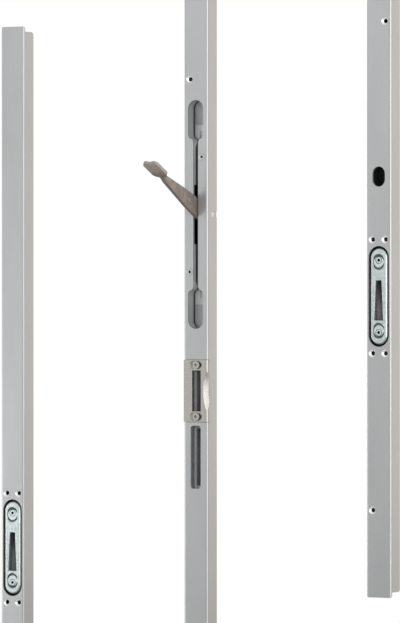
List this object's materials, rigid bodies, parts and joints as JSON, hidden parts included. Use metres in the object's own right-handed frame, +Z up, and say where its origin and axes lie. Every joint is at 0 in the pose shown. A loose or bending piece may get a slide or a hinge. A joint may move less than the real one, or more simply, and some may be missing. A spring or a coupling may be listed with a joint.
{
  "type": "multipoint door lock",
  "caption": "Passive-leaf multipoint door lock in steel channel lengths: folding lever gears shoot bolts up and down, with hook keeps, latch strike and deadbolt slot.",
  "frame": {"origin": "on the face plane of the channel, level with the lever axle, in the middle of the centre length", "axes": "+X to the right across the face, +Y into the door leaf, +Z up along the channel"},
  "size_m": [0.392, 0.1015, 0.7352],
  "materials": {
    "satin_channel": "satin silver coating on folded steel",
    "lever_casting": "bead-blasted casting, warm grey",
    "stainless_strike": "brushed stainless steel",
    "zinc_keep": "bright zinc plate",
    "zinc_casting": "satin die casting",
    "black_plastic": "moulded black plastic",
    "plated_steel": "zinc-plated steel"
  },
  "bodies": {
    "rail": {"centre_channel": "satin_channel", "gear_case_left": "zinc_casting", "gear_case_right": "zinc_casting", "gear_case_screws": "plated_steel", "lever_axle": "plated_steel", "upper_finger_recess": "zinc_casting", "lower_finger_recess": "zinc_casting", "strike_carrier": "zinc_casting", "latch_strike_screws": "stainless_strike", "latch_box": "black_plastic", "bolt_box": "black_plastic", "upper_joint_plate": "plated_steel", "lower_joint_plate": "plated_steel", "joint_screws": "plated_steel", "centre_rod_guides": "black_plastic", "top_channel": "satin_channel", "top_bolt_guide": "black_plastic", "top_rod_guides": "black_plastic", "top_keep_housing": "black_plastic", "bottom_channel": "satin_channel", "bottom_bolt_guide": "black_plastic", "bottom_rod_guides": "black_plastic", "bottom_keep_housing": "black_plastic", "oval_pocket": "black_plastic"},
    "lever_unit": {"lever": "lever_casting", "lever_pinion": "plated_steel"},
    "upper_drive": {"upper_rack": "plated_steel", "upper_rod": "plated_steel", "upper_rod_rivet": "plated_steel"},
    "lower_drive": {"lower_rack": "plated_steel", "lower_rod": "plated_steel", "lower_rod_rivet": "plated_steel"},
    "top_bolt_unit": {"top_drive_rod": "plated_steel", "top_shoot_bolt": "plated_steel", "top_bolt_rivets": "plated_steel"},
    "bottom_bolt_unit": {"bottom_drive_rod": "plated_steel", "bottom_shoot_bolt": "plated_steel", "bottom_bolt_rivets": "plated_steel"},
    "strike_unit": {"latch_strike": "stainless_strike"},
    "top_keep_unit": {"top_keep_plate": "zinc_keep"},
    "top_adjuster_upper_unit": {"top_keep_adjuster_upper": "zinc_keep"},
    "top_adjuster_lower_unit": {"top_keep_adjuster_lower": "zinc_keep"},
    "bottom_keep_unit": {"bottom_keep_plate": "zinc_keep"},
    "bottom_adjuster_upper_unit": {"bottom_keep_adjuster_upper": "zinc_keep"},
    "bottom_adjuster_lower_unit": {"bottom_keep_adjuster_lower": "zinc_keep"}
  },
  "joints": [
    {"name": "lever_fold", "type": "hinge", "parent": "rail", "child": "lever_unit", "pos_m": [0, 0.009, 0], "axis": [-1, 0, 0], "range_deg": [-116.5, 63.5]},
    {"name": "upper_drive_slide", "type": "slide", "parent": "rail", "child": "upper_drive", "axis": [0, 0, 1], "range_m": [-0.0056, 0.0102]},
    {"name": "lower_drive_slide", "type": "slide", "parent": "rail", "child": "lower_drive", "axis": [0, 0, 1], "range_m": [-0.0102, 0.0056]},
    {"name": "top_bolt_slide", "type": "slide", "parent": "rail", "child": "top_bolt_unit", "axis": [0, 0, 1], "range_m": [-0.0056, 0.0102]},
    {"name": "bottom_bolt_slide", "type": "slide", "parent": "rail", "child": "bottom_bolt_unit", "axis": [0, 0, 1], "range_m": [-0.0102, 0.0056]},
    {"name": "latch_strike_shift", "type": "slide", "parent": "rail", "child": "strike_unit", "axis": [1, 0, 0], "range_m": [-0.0025, 0.0025]},
    {"name": "top_keep_shift", "type": "slide", "parent": "rail", "child": "top_keep_unit", "axis": [1, 0, 0], "range_m": [-0.0012, 0.0012]},
    {"name": "top_adjuster_upper_turn", "type": "hinge", "parent": "rail", "child": "top_adjuster_upper_unit", "pos_m": [-0.188, 0, -0.2607], "axis": [0, -1, 0], "range_deg": [-54.5, 54.5]},
    {"name": "top_adjuster_lower_turn", "type": "hinge", "parent": "rail", "child": "top_adjuster_lower_unit", "pos_m": [-0.188, 0, -0.3217], "axis": [0, 1, 0], "range_deg": [-54.5, 54.5]},
    {"name": "bottom_keep_shift", "type": "slide", "parent": "rail", "child": "bottom_keep_unit", "axis": [1, 0, 0], "range_m": [-0.0012, 0.0012]},
    {"name": "bottom_adjuster_upper_turn", "type": "hinge", "parent": "rail", "child": "bottom_adjuster_upper_unit", "pos_m": [0.18, 0, -0.0403], "axis": [0, -1, 0], "range_deg": [-54.5, 54.5]},
    {"name": "bottom_adjuster_lower_turn", "type": "hinge", "parent": "rail", "child": "bottom_adjuster_lower_unit", "pos_m": [0.18, 0, -0.1013], "axis": [0, 1, 0], "range_deg": [-54.5, 54.5]}
  ],
  "couplings": [
    {"joint": "upper_drive_slide", "follows": "lever_fold", "m_per_rad": -0.005},
    {"joint": "lower_drive_slide", "follows": "lever_fold", "m_per_rad": 0.005},
    {"joint": "top_bolt_slide", "follows": "lever_fold", "m_per_rad": -0.005},
    {"joint": "bottom_bolt_slide", "follows": "lever_fold", "m_per_rad": 0.005},
    {"joint": "top_adjuster_upper_turn", "follows": "top_keep_shift", "rad_per_m": 772.75},
    {"joint": "top_adjuster_lower_turn", "follows": "top_keep_shift", "rad_per_m": 772.75},
    {"joint": "bottom_adjuster_upper_turn", "follows": "bottom_keep_shift", "rad_per_m": 772.75},
    {"joint": "bottom_adjuster_lower_turn", "follows": "bottom_keep_shift", "rad_per_m": 772.75}
  ]
}
